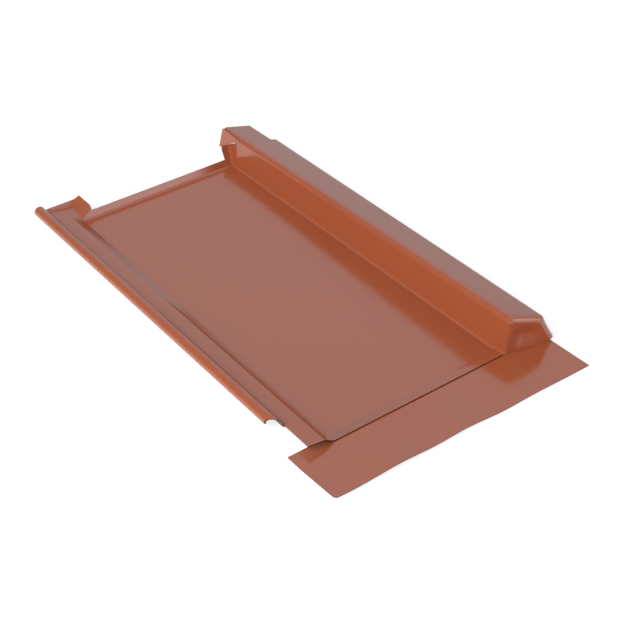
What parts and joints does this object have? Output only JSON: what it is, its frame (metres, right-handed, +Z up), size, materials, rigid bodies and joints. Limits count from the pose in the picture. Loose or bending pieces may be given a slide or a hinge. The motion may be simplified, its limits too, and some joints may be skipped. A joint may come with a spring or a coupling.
{
  "type": "metal roof tile",
  "caption": "Interlocking roof tile pressed from painted sheet steel, with a beaded side strip, a hollow cover roll and a soft apron under its foot edge.",
  "frame": {"origin": "middle of the pan's underside", "axes": "+X from the side strip to the cover roll, +Y from the foot edge to the head, +Z up out of the roof"},
  "size_m": [0.2476, 0.464, 0.0333],
  "materials": {
    "painted_steel": "semi-gloss terracotta paint",
    "painted_apron": "semi-gloss terracotta paint on soft sheet"
  },
  "bodies": {
    "root": {"pressed_tile": "painted_steel", "apron": "painted_apron"}
  },
  "joints": []
}
